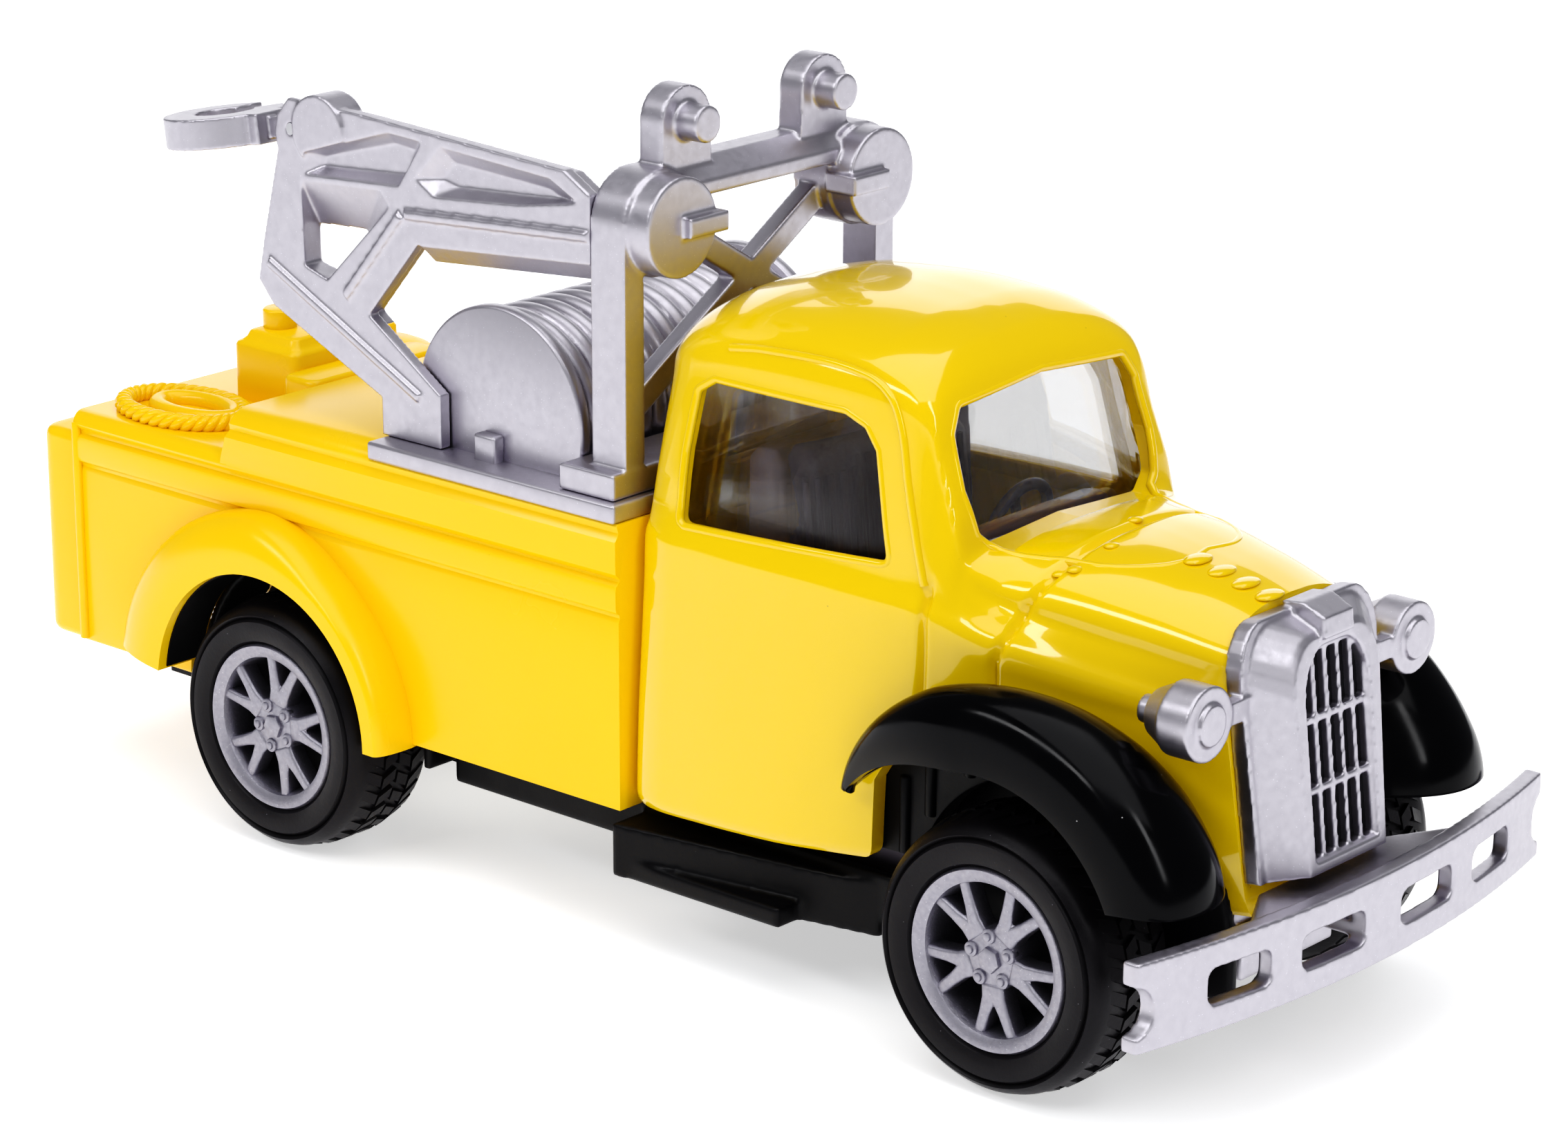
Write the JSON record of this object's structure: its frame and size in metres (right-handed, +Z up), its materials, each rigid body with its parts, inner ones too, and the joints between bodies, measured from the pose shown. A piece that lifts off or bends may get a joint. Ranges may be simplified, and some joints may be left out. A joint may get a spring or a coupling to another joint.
{
  "type": "toy tow truck",
  "caption": "Toy recovery truck with rounded die-cast cab, moulded bed, fixed crane with winch drum, swinging tow hook, free-rolling wheels and pull-back motor.",
  "frame": {"origin": "on the ground under the middle of the truck, halfway between the ends and on the centre plane", "axes": "+X forward to the bumper, +Y to the truck's left, +Z up; the tyres stand on Z = 0"},
  "size_m": [0.1322, 0.053, 0.0693],
  "materials": {
    "cab_yellow": "gloss yellow enamel on zinc casting",
    "bed_yellow": "satin self-coloured yellow plastic",
    "clear_plastic": "clear moulded window plastic",
    "black_plastic": "black moulded plastic",
    "black_gloss": "gloss black plastic",
    "silver_paint": "fine metallic silver paint on plastic",
    "tyre": "black rubber with fine dust",
    "steel": "drawn steel rod",
    "nylon": "white moulded gear plastic",
    "spring_steel": "blued spring strip"
  },
  "bodies": {
    "truck": {"cab_body": "cab_yellow", "cab_glazing": "clear_plastic", "interior_tub": "black_plastic", "dashboard": "black_plastic", "steering_wheel": "black_plastic", "truck_bed": "bed_yellow", "chassis": "black_plastic", "front_fender_right": "black_gloss", "front_fender_left": "black_gloss", "radiator_grille": "silver_paint", "front_bumper": "silver_paint", "crane_base": "silver_paint", "mast_frame": "silver_paint", "boom_frame": "silver_paint", "hook_pin": "steel", "barrel_arbor": "steel", "motor_case_right": "nylon", "motor_case_left": "nylon", "chassis_screws": "steel"},
    "front_wheels": {"front_axle": "steel", "tyre_front_right": "tyre", "tyre_front_left": "tyre", "rim_front_right": "silver_paint", "rim_front_left": "silver_paint"},
    "rear_wheels": {"rear_axle": "steel", "tyre_rear_right": "tyre", "tyre_rear_left": "tyre", "rim_rear_right": "silver_paint", "rim_rear_left": "silver_paint", "axle_gear": "nylon"},
    "barrel": {"spring_barrel": "nylon", "mainspring": "spring_steel"},
    "hook": {"tow_hook": "silver_paint"}
  },
  "joints": [
    {"name": "front_axle_spin", "type": "hinge", "parent": "truck", "child": "front_wheels", "pos_m": [0.0453, 0, 0.011], "axis": [0, 1, 0], "continuous": true},
    {"name": "rear_axle_spin", "type": "hinge", "parent": "truck", "child": "rear_wheels", "pos_m": [-0.0324, 0, 0.011], "axis": [0, 1, 0], "continuous": true},
    {"name": "barrel_spin", "type": "hinge", "parent": "truck", "child": "barrel", "pos_m": [-0.02399, 0, 0.0197], "axis": [0, 1, 0], "continuous": true},
    {"name": "hook_swing", "type": "hinge", "parent": "truck", "child": "hook", "pos_m": [-0.0334, -0.0152, 0.0617], "axis": [0, 1, 0], "range_deg": [-20, 40]}
  ],
  "couplings": [
    {"joint": "barrel_spin", "follows": "rear_axle_spin", "ratio": -0.33333}
  ]
}
